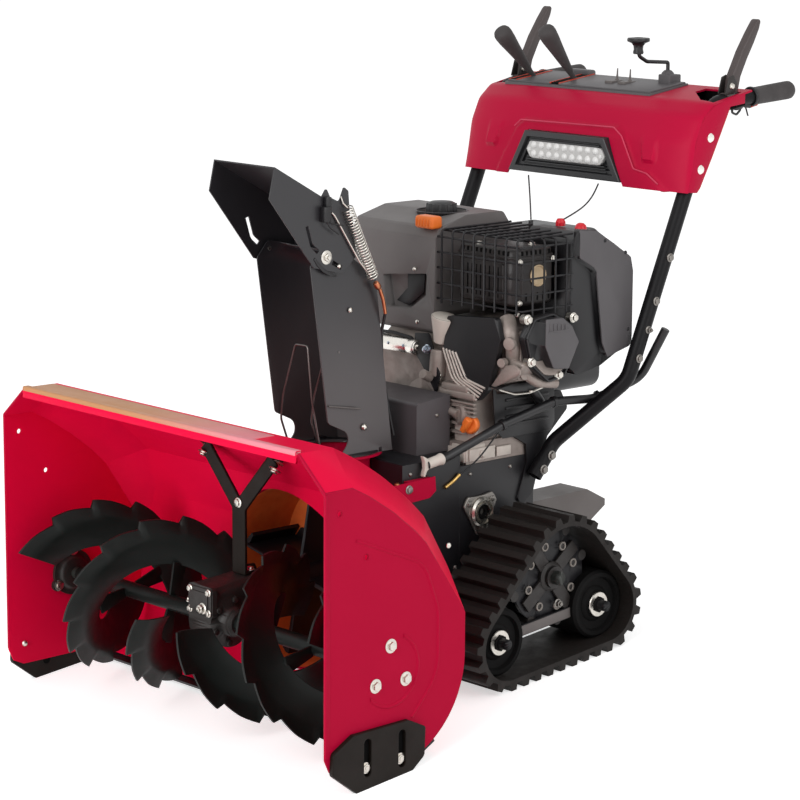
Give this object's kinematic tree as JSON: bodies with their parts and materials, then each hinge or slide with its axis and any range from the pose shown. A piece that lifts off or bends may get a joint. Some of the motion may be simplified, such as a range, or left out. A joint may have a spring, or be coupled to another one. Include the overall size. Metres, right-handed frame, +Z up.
{
  "type": "tracked snow blower",
  "caption": "Two-stage tracked snow blower: red auger housing, serrated augers, impeller, turning chute, engine, triangular rubber tracks, handlebars with dash",
  "frame": {"origin": "centre of the footprint box at ground level", "axes": "+X to the operator's left, +Y rearwards to the handlebars, +Z up; tracks and skid shoes stand on Z = 0"},
  "size_m": [0.888, 1.3952, 1.0637],
  "materials": {
    "red_paint": "gloss",
    "black_paint": "satin",
    "dark_cast": "rough",
    "machine_steel": "brushed",
    "cast_aluminium": "as cast",
    "black_plastic": "fine grain",
    "red_plastic": "gloss",
    "orange_plastic": "gloss",
    "track_rubber": "matt"
  },
  "bodies": {
    "chassis": {"housing_wrapper": "red_paint", "side_plate_left": "red_paint", "side_plate_right": "red_paint", "impeller_drum": "red_paint", "chute_base_flange": "red_paint", "scraper_bar": "black_paint", "skid_shoe_left": "black_paint", "skid_shoe_right": "black_paint", "auger_bearings": "dark_cast", "auger_gearbox": "dark_cast", "gearbox_brace": "black_paint", "chassis_frame": "black_paint", "lower_cover": "black_paint", "belt_cover": "black_paint", "axle_bearings": "dark_cast", "shaft_bearings": "dark_cast", "wing_brackets": "red_paint", "handle_brackets": "black_paint", "height_pedal": "black_paint", "engine_block": "cast_aluminium", "blower_housing": "black_plastic", "recoil_starter": "black_plastic", "valve_cover": "black_plastic", "muffler": "machine_steel", "muffler_guard": "black_paint", "fuel_tank": "black_plastic", "fuel_cap": "black_plastic", "air_intake_cover": "black_plastic", "electric_starter": "machine_steel", "handlebar_left": "black_paint", "handlebar_right": "black_paint", "hand_grips": "black_plastic", "clutch_levers": "black_paint", "dash_shell": "red_plastic", "dash_panel": "black_plastic", "work_light": "black_plastic", "shift_levers": "black_plastic", "chute_crank": "machine_steel", "control_conduit": "black_plastic", "cylinder_duct": "black_plastic", "filler_plugs": "orange_plastic", "plug_cap": "red_plastic", "throttle_cable": "black_plastic", "plug_lead": "black_plastic", "gear_cable": "black_plastic"},
    "undercarriage": {"track_left": "track_rubber", "track_right": "track_rubber", "idler_wheels_left": "black_paint", "idler_wheels_right": "black_paint", "drive_sprocket_left": "black_paint", "drive_sprocket_right": "black_paint", "track_frame_left": "black_paint", "track_frame_right": "black_paint", "drive_axle": "machine_steel"},
    "impeller_rotor": {"impeller": "black_paint"},
    "auger": {"auger_shaft": "machine_steel", "auger_flight_left": "black_paint", "auger_flight_right": "black_paint"},
    "chute_body": {"chute": "black_paint"},
    "deflector": {"chute_deflector": "black_paint"}
  },
  "joints": [
    {"name": "impeller_spin", "type": "hinge", "parent": "chassis", "child": "impeller_rotor", "pos_m": [0, -0.38467, 0.20705], "axis": [0, 0.9945, -0.1045], "continuous": true},
    {"name": "auger_spin", "type": "hinge", "parent": "chassis", "child": "auger", "pos_m": [0, -0.54353, 0.1785], "axis": [1, 0, 0], "continuous": true},
    {"name": "chute_turn", "type": "hinge", "parent": "chassis", "child": "chute_body", "pos_m": [0, -0.25867, 0.411], "axis": [0, 0.1045, 0.9945], "range_deg": [-100, 100]},
    {"name": "deflector_tilt", "type": "hinge", "parent": "chute_body", "child": "deflector", "pos_m": [0, -0.30876, 0.77623], "axis": [1, 0, 0], "range_deg": [0, 60]},
    {"name": "track_tilt", "type": "hinge", "parent": "chassis", "child": "undercarriage", "pos_m": [0, -0.01356, 0.16], "axis": [1, 0, 0], "range_deg": [-6, 6]}
  ],
  "couplings": [
    {"joint": "auger_spin", "follows": "impeller_spin", "ratio": 0.1}
  ]
}
